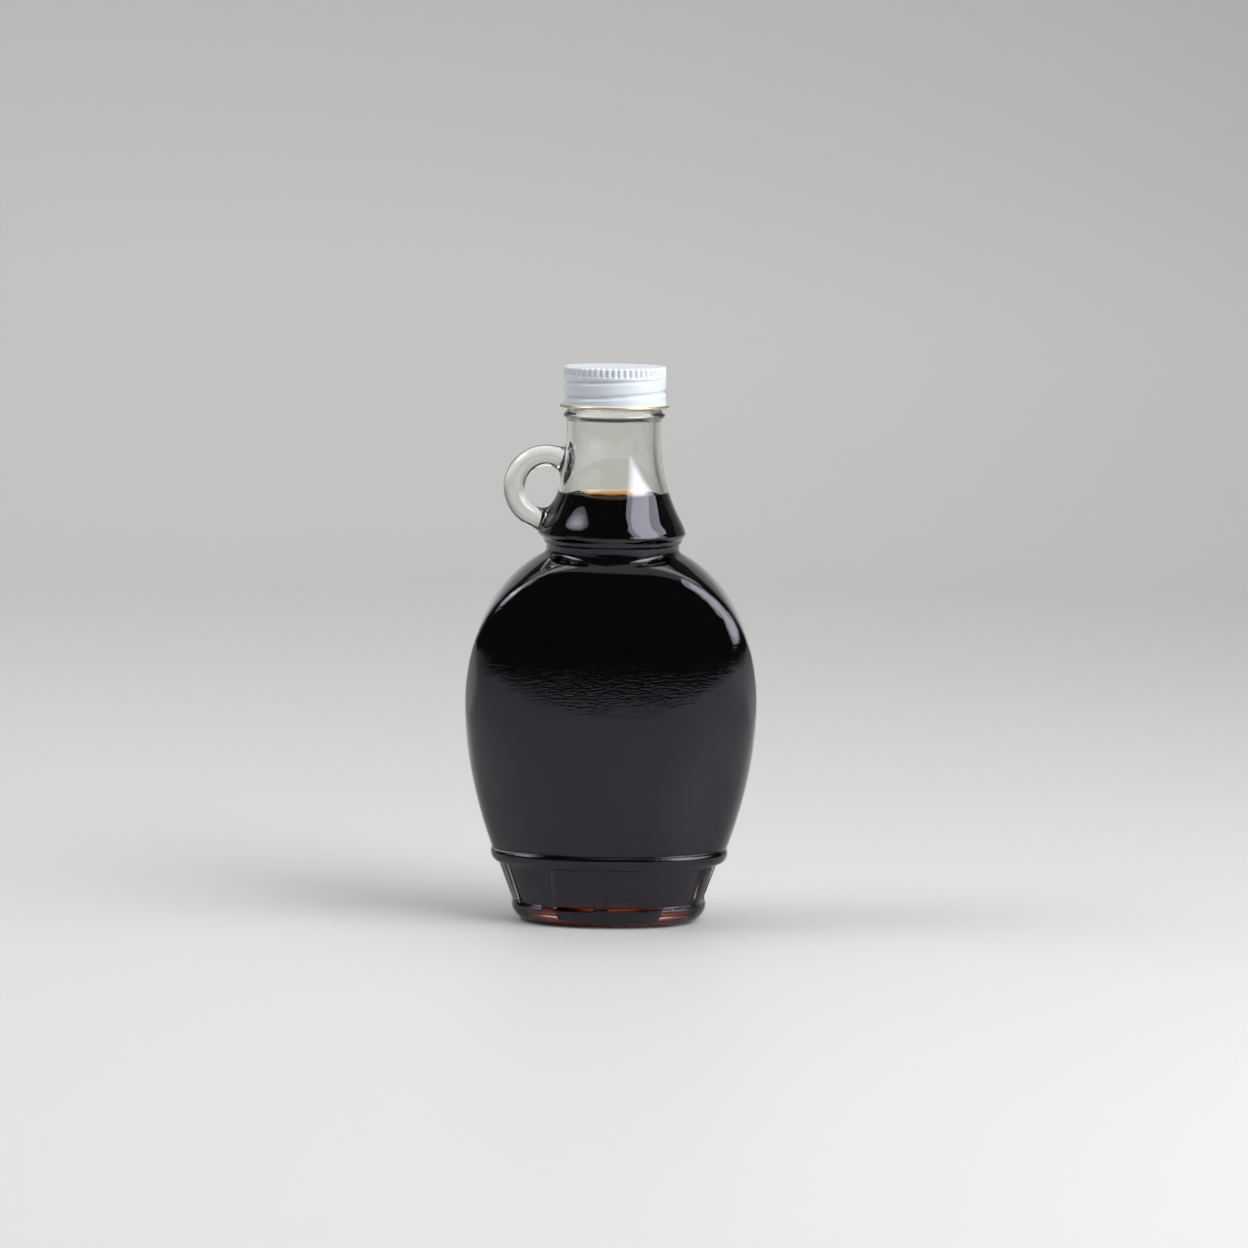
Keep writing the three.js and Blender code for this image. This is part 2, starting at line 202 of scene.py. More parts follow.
# heights where the spacing of the rings changes, each with the spacing over it: fine at every edge
outsideRows = [(0, 0.2), (1, 0.4), (4.8, 0.2), (6.2, 0.9), (15.9, 0.15), (21.4, 0.9), (84, 0.3), (104.4, 0.15),
               (110, 0.7), (140, 0.2), (144.4, 0.35), (153.6, 0.2), (154.6, 0)]
insideRows = [(6.4, 0.5), (12, 1.2), (84, 0.6), (112, 0.8)]
pushUpRows = 16
floorRowStep = 0.15
insideSides = 120
# rings of the inside floor between its middle and its edge, as shares of the way out
floorShares = [0.12, 0.3, 0.48, 0.64, 0.78, 0.9]
# the syrup climbs the wall steeply at first, then in a wide low curve
syrupSizes = {"level": 117.3, "climb": 3.0, "steepShare": 0.5, "steepLength": 0.9, "climbLength": 1.6,
              "intoWall": 0.12, "rings": 44, "crowding": 2.4, "innermostShare": 0.985}
bubbleSizes = {"Ring radius": 13.9, "Height": 118.1, "Bubble radius": 0.45, "Share": 0.14}


def ovalRadius(angle, halfWidth, halfDepth, squareness):
    x, y = np.abs(np.cos(angle)) / halfWidth, np.abs(np.sin(angle)) / halfDepth
    return (x ** squareness + y ** squareness) ** (-1 / squareness)


def panelDepth(x, z):
    above = z > b.widestZ
    edgeZ = b.widestZ + b.ridgeRise if above else b.bodyFootZ
    edgeDepth = b.panelTopHalfDepth if above else b.panelFootHalfDepth
    away = (z - b.widestZ) / (edgeZ - b.widestZ)
    return mix(b.panelHalfDepth, edgeDepth, away ** 2) - x ** 2 / (2 * b.panelBowRadius)


def bodyField(x, y, z, inset):
    # under 1 inside the body; inset moves the whole surface inwards
    depthShare = (y / b.ridgeHalfDepth) ** 2
    halfWidth = mix(b.bodyHalfWidth, b.ridgeHalfWidth, depthShare) - inset
    if z > b.widestZ:
        rise = np.maximum(mix(b.outlineRise, b.ridgeRise, depthShare) - inset, 1)
        power = mix(b.outlineSquareness, b.ridgeSquareness, depthShare)
        rim = ((np.abs(x) / halfWidth) ** power + ((z - b.widestZ) / rise) ** power) ** (1 / power)
    else:
        drawIn = ((b.widestZ - z) / (b.widestZ - b.bodyFootZ)) ** b.drawInPower
        rim = np.abs(x) / (halfWidth - (b.bodyHalfWidth - b.bodyFootHalfWidth) * drawIn)
    panel = np.abs(y) / (panelDepth(x, z) - inset)
    corner = 1 / mix(1 / b.heelCorner, 1 / b.shoulderCorner,
                     smooth((z - b.cornerFromZ) / (b.cornerToZ - b.cornerFromZ)))
    if inset > 0:
        corner = min(corner, b.insideCorner)
    return (rim ** corner + panel ** corner) ** (1 / corner)


def bodyRadius(angle, z, inset=0.0):
    c, s = np.cos(angle), np.sin(angle)
    near, far = np.zeros_like(angle), np.full_like(angle, b.bodyHalfWidth + 1)
    if bodyField(near, near, z, inset)[0] >= 1:
        return near
    for _ in range(36):
        middle = (near + far) / 2
        within = bodyField(middle * c, middle * s, z, inset) < 1
        near, far = np.where(within, middle, near), np.where(within, far, middle)
    return near


# points are spread evenly along the edge of the heel band, so that the flutes get equal lengths of it
arcAngles = np.linspace(-np.pi / 2, 1.5 * np.pi, 2881)
arcRadii = ovalRadius(arcAngles, b.bandTopHalfWidth, b.bandTopHalfDepth, b.heelSquareness)
arcPoints = np.stack([arcRadii * np.cos(arcAngles), arcRadii * np.sin(arcAngles)])
arcLengths = np.concatenate([[0], np.cumsum(np.hypot(*np.diff(arcPoints, axis=1)))])


def evenShares(sides):
    return np.arange(sides) / sides


def ribShares():
    middles = (np.arange(fluteSizes["Count"]) - fluteSizes["Turn"] + 0.5) / fluteSizes["Count"]
    offsets = np.array([-p for p in ribPoints[1:-1]] + ribPoints) / fluteSizes["Count"]
    return np.unique(np.round((middles[:, None] + offsets[None, :]).ravel() % 1, 9))


def ringAngles(shares):
    return np.interp(shares * arcLengths[-1], arcLengths, arcAngles)


def heelSize(z):
    if z > b.bandTopZ:
        under = roundOff((b.ringZ - z) / (b.ringZ - b.bandTopZ))
        return mix(b.ringHalfWidth, b.bandTopHalfWidth, under), mix(b.ringHalfDepth, b.bandTopHalfDepth, under)
    down = min((b.bandTopZ - z) / (b.bandTopZ - b.bandFootZ), 1)
    bead = b.footBeadOut * smooth((b.bandFootZ - z) / (b.bandFootZ - b.footBeadTopZ))
    edge = roundOff((b.footEdgeHeight - z) / b.footEdgeHeight)
    return (mix(b.bandTopHalfWidth, b.bandFootHalfWidth, down) + bead - b.footEdgeAcross * edge,
            mix(b.bandTopHalfDepth, b.bandFootHalfDepth, down) + bead - b.footEdgeDeep * edge)


def glassThread(angle, z):
    away = np.fmod((z - b.threadZ - b.threadPitch * (angle / (2 * np.pi) + 0.5)) / b.threadPitch, 1)
    nearest = np.where(np.abs(away) > 0.5, 1 - np.abs(away), np.abs(away))
    lowEnd = smooth((z - b.finishFromZ - b.threadAboveBead) / b.threadEnd)
    ends = lowEnd * smooth((b.finishTopZ - b.threadUnderTop - z) / b.threadEnd)
    return b.threadOut * ends * swell(nearest * b.threadPitch / b.threadHalfHeight)


def skirtRadius(z):
    down = clamp01((b.skirtTopZ - z) / (b.skirtTopZ - b.skirtLipZ))
    return b.neckRadius + b.skirtFlare * down ** b.skirtPower


# the skirt's lip is undercut in two steps, down to the groove over the shoulder
undercutHeights = [b.grooveZ, 106.1, 106.4, 106.6, 106.8, 107.5, 107.8, 108.3, 108.9, b.skirtLipZ]
undercutRadii = [b.grooveRadius, 18.7, 18.85, 19.15, 19.3, 19.4, 19.55, 19.95, 20.3, b.skirtLipRadius]


def neckOutside(z):
    # the plain neck, without the thread
    below = np.interp(z, undercutHeights, undercutRadii)
    bead = b.beadOut * swell((z - b.beadZ) / b.beadHalfHeight)
    above = softMin(skirtRadius(z), b.skirtLipRadius + b.skirtLipSpare, b.skirtLipRounding) + bead
    return np.where(z < b.skirtLipZ, below, above)


def outsideRadius(angle, z):
    if z < b.ringZ:
        return ovalRadius(angle, *heelSize(z), b.heelSquareness)
    body = bodyRadius(angle, z)
    if z > b.finishFromZ:
        edge = b.finishEdge * roundOff((z - b.finishTopZ + b.finishEdge) / b.finishEdge)
        return b.finishRadius + glassThread(angle, z) - edge
    if z > b.neckFromZ:
        return softMax(body, neckOutside(z), b.neckFillet)
    if z > b.bodyFootZ:
        return body
    over = roundOff((z - b.ringZ) / (b.bodyFootZ - b.ringZ))
    ring = ovalRadius(angle, b.ringHalfWidth - over, b.ringHalfDepth - over, b.heelSquareness)
    return np.maximum(body, ring)


def insideRadius(angle, z):
    neck = softMin(skirtRadius(z) - b.neckWall, b.insideSkirtRadius, b.insideSkirtRounding)
    if z > b.neckFromZ:
        return softMax(bodyRadius(angle, z, b.bodyWall), neck, 2 * b.neckFillet)
    corner = b.floorCornerRadius * roundOff((b.floorZ + b.floorCornerRadius - z) / b.floorCornerRadius)
    if z > b.bodyFootZ:
        return bodyRadius(angle, z, b.bodyWall) - corner
    down = (b.bodyFootZ - z) / (b.bodyFootZ - b.bandFootZ)
    sideWall = b.bodyWall + (b.heelSideTop - b.heelSideTaper * down) * smooth(down / b.heelSideBlend)
    halfWidth = mix(b.bodyFootHalfWidth, b.bandFootHalfWidth, down) - sideWall
    halfDepth = mix(b.panelFootHalfDepth, b.bandFootHalfDepth, down) - b.bodyWall
    return ovalRadius(angle, halfWidth, halfDepth, b.heelCorner) - corner


def steps(*marks):
    # heights from mark to mark: (from, step), (from, step), ..., (end, 0)
    heights = []
    for (start, step), (end, _) in zip(marks, marks[1:]):
        heights += np.linspace(start, end, max(2, round((end - start) / step) + 1))[:-1].tolist()
    return heights + [marks[-1][0]]


def ringPoints(angle, radius, z):
    return np.stack([radius * np.cos(angle), radius * np.sin(angle), np.full_like(angle, z)], axis=1)


def loftedPiece(name, rings, footZ, topZ, **looks):
    poles = [[0, 0, footZ], [0, 0, topZ]]
    points = np.concatenate([*rings, poles]) * mm
    return meshObject(name, points, loftFaces(len(rings), len(rings[0])), **looks)


def makeOutside():
    shares = ribShares()
    angle = ringAngles(shares)
    footAcross, footDeep = heelSize(0)
    across = np.linspace(b.pushUpRun, b.pushUpFrom, pushUpRows)
    under = [(b.bearingRingWidth + away, b.pushUp * smooth(away / b.pushUpRun)) for away in across]
    rings = [ringPoints(angle, ovalRadius(angle, footAcross - inset, footDeep - inset, b.heelSquareness), z)
             for inset, z in [*under, (b.bearingRingWidth, 0.0), (b.bearingRingWidth / 2, 0.0)]]
    rings += [ringPoints(angle, outsideRadius(angle, z), z) for z in steps(*outsideRows)]
    outside = loftedPiece("bottleGlass", rings, b.pushUp, b.finishTopZ)
    share = np.concatenate([np.tile(shares, len(rings)), [0, 0]])
    outside.data.attributes.new("edgeShare", "FLOAT", "POINT").data.foreach_set("value", share)
    return outside


def fluteTree(material):
    # presses flat panels into the heel band and leaves narrow ribs between them
    tree, given, result = newTree("heelFlutes", {name: "NodeSocketFloat" for name in fluteSizes})
    ask = given.outputs
    share = addNode(tree, "GeometryNodeInputNamedAttribute", {"Name": "edgeShare"}, data_type="FLOAT")
    turns = addNode(tree, "ShaderNodeMath", {0: share.outputs["Attribute"], 1: ask["Count"], 2: ask["Turn"]},
                    operation="MULTIPLY_ADD")
    part = addNode(tree, "ShaderNodeMath", {0: turns.outputs[0]}, operation="FRACT")
    fromRib = addNode(tree, "ShaderNodeMath", {0: part.outputs[0], 1: 0.5}, operation="SUBTRACT")
    place = addNode(tree, "ShaderNodeMath", {0: fromRib.outputs[0]}, operation="ABSOLUTE")
    ribEdge = addNode(tree, "ShaderNodeMath", {0: ask["Rib width"], 1: 0.5}, operation="MULTIPLY")
    ribFoot = addNode(tree, "ShaderNodeMath", {0: ribEdge.outputs[0], 1: ask["Rib slope"]}, operation="ADD")
    across = addNode(tree, "ShaderNodeMapRange",
                     {"Value": place.outputs[0], 1: ribEdge.outputs[0], 2: ribFoot.outputs[0]},
                     interpolation_type="SMOOTHSTEP")
    position = addNode(tree, "GeometryNodeInputPosition")
    split = addNode(tree, "ShaderNodeSeparateXYZ", {0: position.outputs[0]})
    height = addNode(tree, "ShaderNodeMath", {0: split.outputs["Z"], 1: 1 / mm}, operation="MULTIPLY")
    topEnd = addNode(tree, "ShaderNodeMath", {0: ask["Top"], 1: ask["Top run"]}, operation="SUBTRACT")
    fromTop = addNode(tree, "ShaderNodeMapRange",
                      {"Value": height.outputs[0], 1: ask["Top"], 2: topEnd.outputs[0]},
                      interpolation_type="SMOOTHSTEP")
    footEnd = addNode(tree, "ShaderNodeMath", {0: ask["Foot"], 1: ask["Foot run"]}, operation="ADD")
    fromFoot = addNode(tree, "ShaderNodeMapRange",
                       {"Value": height.outputs[0], 1: ask["Foot"], 2: footEnd.outputs[0]},
                       interpolation_type="SMOOTHSTEP")
    upDown = addNode(tree, "ShaderNodeMath", {0: fromTop.outputs[0], 1: fromFoot.outputs[0]},
                     operation="MULTIPLY")
    strength = addNode(tree, "ShaderNodeMath", {0: upDown.outputs[0], 1: across.outputs[0]},
                       operation="MULTIPLY")
    press = addNode(tree, "ShaderNodeMath", {0: strength.outputs[0], 1: ask["Depth"]}, operation="MULTIPLY")
    pressIn = addNode(tree, "ShaderNodeMath", {0: press.outputs[0], 1: -mm}, operation="MULTIPLY")
    flat = addNode(tree, "ShaderNodeCombineXYZ", {"X": split.outputs["X"], "Y": split.outputs["Y"]})
    outwards = addNode(tree, "ShaderNodeVectorMath", {0: flat.outputs[0]}, operation="NORMALIZE")
    offset = addNode(tree, "ShaderNodeVectorMath", {0: outwards.outputs[0], "Scale": pressIn.outputs[0]},
                     operation="SCALE")
    moved = addNode(tree, "GeometryNodeSetPosition", {"Geometry": ask["Geometry"], "Offset": offset.outputs[0]})
    return closeTree(tree, moved.outputs[0], result, material)


def handleTree(material):
    # a round rod bent into a ring that stands in the plane of the neck
    tree, given, result = newTree("loopHandle", {name: "NodeSocketFloat" for name in handleSizes})
    ask = given.outputs
    inMetres = {name: addNode(tree, "ShaderNodeMath", {0: ask[name], 1: mm}, operation="MULTIPLY").outputs[0]
                for name in handleSizes}
    path = addNode(tree, "GeometryNodeCurvePrimitiveCircle",
                   {"Resolution": handleSides["along"], "Radius": inMetres["Ring radius"]}, mode="RADIUS")
    rod = addNode(tree, "GeometryNodeCurvePrimitiveCircle",
                  {"Resolution": handleSides["around"], "Radius": inMetres["Rod radius"]}, mode="RADIUS")
    tube = addNode(tree, "GeometryNodeCurveToMesh", {"Curve": path.outputs[0], "Profile Curve": rod.outputs[0]})
    centre = addNode(tree, "ShaderNodeCombineXYZ", {"X": inMetres["Centre X"], "Z": inMetres["Centre Z"]})
    placed = addNode(tree, "GeometryNodeTransform",
                     {"Geometry": tube.outputs[0], "Translation": centre.outputs[0],
                      "Rotation": Euler((math.pi / 2, 0, 0))})
    return closeTree(tree, placed.outputs[0], result, material)


def floorRings(angle, lowZ, edge):
    # the inside floor is domed over the push-up
    return [ringPoints(angle, edge * share, lowZ + b.floorRise * (1 - smooth(share))) for share in floorShares]


def makeCavity():
    angle = ringAngles(evenShares(insideSides))
    level = syrupSizes["level"] + syrupSizes["climb"]
    mouthZ = b.finishTopZ + b.overMouth
    heights = steps((b.floorZ + b.aboveFloor, floorRowStep), *insideRows, (level, 1.0), (b.skirtTopZ, 1.6),
                    (mouthZ, 0))
    rings = [ringPoints(angle, insideRadius(angle, z), z) for z in heights]
    rings = floorRings(angle, b.floorZ, insideRadius(angle, heights[0])) + rings
    return loftedPiece("cavity", rings, b.floorZ + b.floorRise, mouthZ)


def joinSolid(piece, other, operation):
    modifier = piece.modifiers.new(operation.lower(), "BOOLEAN")
    modifier.object, modifier.operation, modifier.solver = other, operation, "EXACT"
    evaluatedMesh(piece)
    bpy.data.objects.remove(other, do_unlink=True)


def softenJoint(piece):
    # the molten rod flows a little onto the neck: points near the joint swell outwards
    j = SimpleNamespace(**jointSizes)
    mesh = piece.data
    points = np.empty(len(mesh.vertices) * 3)
    mesh.vertices.foreach_get("co", points)
    normals = np.empty_like(points)
    mesh.vertices.foreach_get("normal", normals)
    points, normals = points.reshape(-1, 3), normals.reshape(-1, 3)
    x, y, z = points.T / mm
    alongRing = np.hypot(x - handleSizes["Centre X"], z - handleSizes["Centre Z"]) - handleSizes["Ring radius"]
    toRod = np.hypot(alongRing, y) - handleSizes["Rod radius"]
    step = 0.1
    slope = (neckOutside(z + step) - neckOutside(z - step)) / (2 * step)
    toNeck = (np.hypot(x, y) - neckOutside(z)) / np.hypot(1, slope)
    nearHandle = (x < j.maxX) & (z > j.fromZ) & (z < j.toZ)
    other = np.maximum(np.abs(toRod), np.abs(toNeck))
    own = np.minimum(np.abs(toRod), np.abs(toNeck))
    lift = np.where(nearHandle & (own < j.reach), np.maximum(j.softness - other, 0) ** 2 / (4 * j.softness), 0)
    mesh.vertices.foreach_set("co", (points + normals * lift[:, None] * mm).ravel())
    mesh.update()


def makeBottle(glass, wetGlass):
    bottle = makeOutside()
    addTreeModifier(bottle, fluteTree(glass), fluteSizes)
    evaluatedMesh(bottle)
    handle = meshObject("loopHandle", [(0, 0, 0)], [])
    addTreeModifier(handle, handleTree(glass), handleSizes)
    evaluatedMesh(handle)
    joinSolid(bottle, handle, "UNION")
    softenJoint(bottle)
    joinSolid(bottle, makeCavity(), "DIFFERENCE")
    mesh = bottle.data
    mesh.materials.clear()
    mesh.materials.append(glass)
    mesh.materials.append(wetGlass)
    mesh.polygons.foreach_set("material_index", wetFaces(mesh).astype(np.int32))
    mesh.polygons.foreach_set("use_smooth", [True] * len(mesh.polygons))
    mesh.update()
    return bottle


def wetFaces(mesh):
    # a face is wet where it lies on the inside form, below the line where the syrup ends. The inside form is
    # looked up in a table of its radius by height and angle
    tableRows, tableColumns, near, belowFloor = 400, 361, 0.6, 0.1
    centres = np.empty(len(mesh.polygons) * 3)
    mesh.polygons.foreach_get("center", centres)
    x, y, z = centres.reshape(-1, 3).T / mm
    wetTop = syrupSizes["level"] + syrupSizes["climb"]
    levels = np.linspace(b.floorZ + b.aboveFloor, wetTop, tableRows)
    probe = np.linspace(-np.pi, np.pi, tableColumns)
    table = np.array([insideRadius(probe, level) for level in levels])
    row = np.interp(z, levels, np.arange(tableRows))
    column = np.interp(np.arctan2(y, x), probe, np.arange(tableColumns))
    low = row.astype(int).clip(0, tableRows - 2)
    left = column.astype(int).clip(0, tableColumns - 2)
    inside = mix(mix(table[low, left], table[low, left + 1], column - left),
                 mix(table[low + 1, left], table[low + 1, left + 1], column - left), row - low)
    return (z <= wetTop) & (z >= b.floorZ - belowFloor) & (np.hypot(x, y) < inside + near)


def bubbleTree(material):
    # small bubbles that cling to the glass along the syrup's edge
    tree, given, result = newTree("edgeBubbles", {name: "NodeSocketFloat" for name in bubbleSizes})
    ask = given.outputs
    radius = addNode(tree, "ShaderNodeMath", {0: ask["Ring radius"], 1: mm}, operation="MULTIPLY")
    height = addNode(tree, "ShaderNodeMath", {0: ask["Height"], 1: mm}, operation="MULTIPLY")
    size = addNode(tree, "ShaderNodeMath", {0: ask["Bubble radius"], 1: mm}, operation="MULTIPLY")
    ring = addNode(tree, "GeometryNodeCurvePrimitiveCircle", {"Resolution": 96, "Radius": radius.outputs[0]},
                   mode="RADIUS")
    centre = addNode(tree, "ShaderNodeCombineXYZ", {"Z": height.outputs[0]})
    placed = addNode(tree, "GeometryNodeTransform",
                     {"Geometry": ring.outputs[0], "Translation": centre.outputs[0]})
    chosen = addNode(tree, "FunctionNodeRandomValue", {"Probability": ask["Share"], "Seed": 7},
                     data_type="BOOLEAN")
    scale = addNode(tree, "FunctionNodeRandomValue", {2: 0.45, 3: 1.0, "Seed": 3}, data_type="FLOAT")
    ball = addNode(tree, "GeometryNodeMeshIcoSphere", {"Radius": size.outputs[0], "Subdivisions": 3})
    free = addNode(tree, "GeometryNodeStoreNamedAttribute",
                   {"Geometry": ball.outputs[0], "Name": "freeSurface", "Value": 1.0},
                   data_type="FLOAT", domain="FACE")
    bubbles = addNode(tree, "GeometryNodeInstanceOnPoints",
                      {"Points": placed.outputs[0], "Selection": chosen.outputs[3], "Instance": free.outputs[0],
                       "Scale": scale.outputs[1]})
    both = addNode(tree, "GeometryNodeJoinGeometry")
    tree.links.new(ask["Geometry"], both.inputs[0])
    tree.links.new(bubbles.outputs[0], both.inputs[0])
    return closeTree(tree, both.outputs[0], result, material)


def makeSyrup(material):
    s = SimpleNamespace(**syrupSizes)
    angle = ringAngles(evenShares(insideSides))
    top = s.level + s.climb
    lowZ = b.floorZ + b.aboveFloor
    heights = steps((b.floorZ - s.intoWall, floorRowStep), *insideRows, (top, 0))
    rings = [ringPoints(angle, insideRadius(angle, max(z, lowZ)) + s.intoWall, z) for z in heights]
    rings = floorRings(angle, b.floorZ - s.intoWall, insideRadius(angle, lowZ)) + rings
    sideRings = len(rings)
    wall = insideRadius(angle, top) + s.intoWall
    # the free surface: rings crowd where it curves up the wall
    for share in np.linspace(0, 1, s.rings)[1:]:
        radius = wall * (1 - share ** s.crowding * s.innermostShare)
        rise = s.climb * mix(np.exp(-(wall - radius) / s.climbLength),
                             np.exp(-(wall - radius) / s.steepLength), s.steepShare)
        rings.append(np.stack([radius * np.cos(angle), radius * np.sin(angle), s.level + rise], axis=1))
    piece = loftedPiece("darkSyrup", rings, b.floorZ - s.intoWall + b.floorRise, s.level, materials=[material])
    free = np.zeros(len(piece.data.polygons))
    free[len(angle) * sideRings:] = 1
    piece.data.attributes.new("freeSurface", "FLOAT", "FACE").data.foreach_set("value", free)
    addTreeModifier(piece, bubbleTree(material), bubbleSizes)
    return evaluatedMesh(piece)


# Flint glass: clear and nearly colourless, with a faint violet in its reflections. The mould leaves a fine
# orange peel on the body, which breaks up the edges of reflections, and a slow roll all over. The heights
# between which the peel grows or fades are metres
peelSizes = {"scale": 700.0, "drawn": 2.4, "heelFrom": 0.03, "heelTo": 0.05, "onHeel": 0.15,
             "neckFrom": 0.086, "neckTo": 0.1, "onNeck": 0.12, "rollScale": 130.0, "rollShare": 0.9}


def flintGlass():
    material, tree = newMaterial("pressedFlintGlass")
    where = addNode(tree, "ShaderNodeTexCoord")
    p = SimpleNamespace(**peelSizes)
    drawn = addNode(tree, "ShaderNodeMapping",
                    {"Vector": where.outputs["Object"], "Scale": (1.0, 1.0, p.drawn)})
    peel = addNode(tree, "ShaderNodeTexNoise",
                   {"Vector": drawn.outputs[0], "Scale": p.scale, "Detail": 1.0, "Roughness": 0.5})
    split = addNode(tree, "ShaderNodeSeparateXYZ", {0: where.outputs["Object"]})
    rising = addNode(tree, "ShaderNodeMapRange",
                     {"Value": split.outputs["Z"], 1: p.heelFrom, 2: p.heelTo, 3: p.onHeel, 4: 1.0},
                     interpolation_type="SMOOTHSTEP")
    fading = addNode(tree, "ShaderNodeMapRange",
                     {"Value": split.outputs["Z"], 1: p.neckFrom, 2: p.neckTo, 3: 1.0, 4: p.onNeck},
                     interpolation_type="SMOOTHSTEP")
    onBody = addNode(tree, "ShaderNodeMath", {0: rising.outputs[0], 1: fading.outputs[0]}, operation="MULTIPLY")
    grain = addNode(tree, "ShaderNodeMath", {0: peel.outputs[0], 1: onBody.outputs[0]}, operation="MULTIPLY")
    roll = addNode(tree, "ShaderNodeTexNoise",
                   {"Vector": where.outputs["Object"], "Scale": p.rollScale, "Detail": 1.0, "Roughness": 0.5})
    heights = addNode(tree, "ShaderNodeMath", {0: roll.outputs[0], 1: p.rollShare, 2: grain.outputs[0]},
                      operation="MULTIPLY_ADD")
    bumps = addNode(tree, "ShaderNodeBump", {"Strength": 0.06, "Distance": 0.001, "Height": heights.outputs[0]})
    shader = addNode(tree, "ShaderNodeBsdfPrincipled",
                     {"Base Color": linearColour("#fdfdfa"), "Roughness": 0.02, "IOR": 1.54,
                      "Specular Tint": linearColour("#f1f0ff"), "Transmission Weight": 1.0,
                      "Normal": bumps.outputs[0]})
    addNode(tree, "ShaderNodeOutputMaterial", {"Surface": shader.outputs[0]})
    return material


# Where syrup wets the glass there is no air between them, so that face hardly reflects
def wettedGlass():
    material, tree = newMaterial("flintGlassWettedBySyrup")
    shader = addNode(tree, "ShaderNodeBsdfPrincipled",
                     {"Base Color": linearColour("#ffffff"), "Roughness": 0.0, "IOR": 1.01,
                      "Transmission Weight": 1.0})
    addNode(tree, "ShaderNodeOutputMaterial", {"Surface": shader.outputs[0]})
    return material


# Dark table syrup: amber-red where it is thin, black in bulk
def darkSyrup():
    material, tree = newMaterial("darkTableSyrup")
    free = addNode(tree, "ShaderNodeAttribute", attribute_name="freeSurface")
    where = addNode(tree, "ShaderNodeTexCoord")
    ripple = addNode(tree, "ShaderNodeTexNoise",
                     {"Vector": where.outputs["Object"], "Scale": 90.0, "Detail": 1.0})
    bumps = addNode(tree, "ShaderNodeBump", {"Strength": 0.03, "Distance": 0.001, "Height": ripple.outputs[0]})
    wetted = addNode(tree, "ShaderNodeBsdfPrincipled",
                     {"Base Color": linearColour("#ffffff"), "Roughness": 0.0, "IOR": 1.01,
                      "Transmission Weight": 1.0})
    surface = addNode(tree, "ShaderNodeBsdfPrincipled",
                      {"Base Color": linearColour("#ffffff"), "Roughness": 0.02, "IOR": 1.47,
                       "Transmission Weight": 1.0, "Normal": bumps.outputs[0]})
    both = addNode(tree, "ShaderNodeMixShader",
                   {0: free.outputs["Fac"], 1: wetted.outputs[0], 2: surface.outputs[0]})
    depth = addNode(tree, "ShaderNodeVolumeAbsorption", {"Color": (0.8875, 0.6, 0.05, 1), "Density": 2000.0})
    addNode(tree, "ShaderNodeOutputMaterial", {"Surface": both.outputs[0], "Volume": depth.outputs[0]})
    return material


glass, wetGlass, syrupMaterial = flintGlass(), wettedGlass(), darkSyrup()
bottle = makeBottle(glass, wetGlass)
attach(bottle, "root")
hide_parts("bottle")
print("glass ready:", len(bottle.data.polygons), "faces")

syrup = makeSyrup(syrupMaterial)
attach(syrup, "root")
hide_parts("syrup")
print("syrup ready:", len(syrup.data.polygons), "faces")

# The screw cap: knurled top edge, rolled thread and curled hem
capSizes = {
    "footZ": 144.3, "topZ": 155.8, "radius": 14.3, "edge": 0.7, "insideRadius": 13.45, "insideTopZ": 154.9,
    "insideEnd": 0.4, "hemRadius": 15.3, "hemHeight": 0.85, "hemTuck": 0.5, "hemLift": 0.05, "hemGap": 0.25,
    "rowHeight": 0.12, "crownDip": 0.10, "crownRun": 1.5, "sides": 432,
}
crownRadii = [13.0, 12.6, 12, 10, 6, 2]
underCrownShares = [0.2, 0.5, 0.8, 0.97]
knurlSizes = {"Count": 54.0, "Depth": 0.42, "Slot power": 1.6, "Top": 156.4, "Top run": 0.55, "Foot": 152.9,
              "Foot run": 0.7}
grooveSizes = {"Pitch": 4.23, "Groove depth": 0.65, "Groove half height": 1.0, "Groove Z": 148.9,
               "Groove from": 145.8, "Groove run in": 0.8, "Groove to": 152.7, "Groove run out": 0.6}


def capProfile():
    # (radius, height, is hem) from the inside of the top, down the inside, round the hem and up the outside
    c = SimpleNamespace(**capSizes)
    line = [(c.insideRadius * share, c.insideTopZ, 0) for share in underCrownShares]
    insideHeights = np.linspace(c.insideTopZ - c.insideEnd, c.footZ + c.insideEnd, 10)
    line += [(c.insideRadius, z, 0) for z in insideHeights]
    hemMiddle, hemHalf = c.footZ + c.hemHeight / 2, c.hemHeight / 2
    hemCentre = c.hemRadius - hemHalf
    line += [(hemCentre - c.hemTuck, c.footZ + c.hemLift, 1)]
    line += [(hemCentre + hemHalf * math.cos(a), hemMiddle + hemHalf * math.sin(a), 1)
             for a in np.radians(np.linspace(-95, 120, 24))]
    skirtHeights = steps((c.footZ + c.hemHeight + c.hemGap, c.rowHeight), (c.topZ - c.edge, 0))
    line += [(c.radius, z, 0) for z in skirtHeights]
    line += [(c.radius - c.edge + c.edge * math.cos(a), c.topZ - c.edge + c.edge * math.sin(a), 0)
             for a in np.radians(np.linspace(8, 90, 10))]
    line += [(r, c.topZ - c.crownDip * smooth((c.radius - c.edge - r) / c.crownRun), 0) for r in crownRadii]
    return line


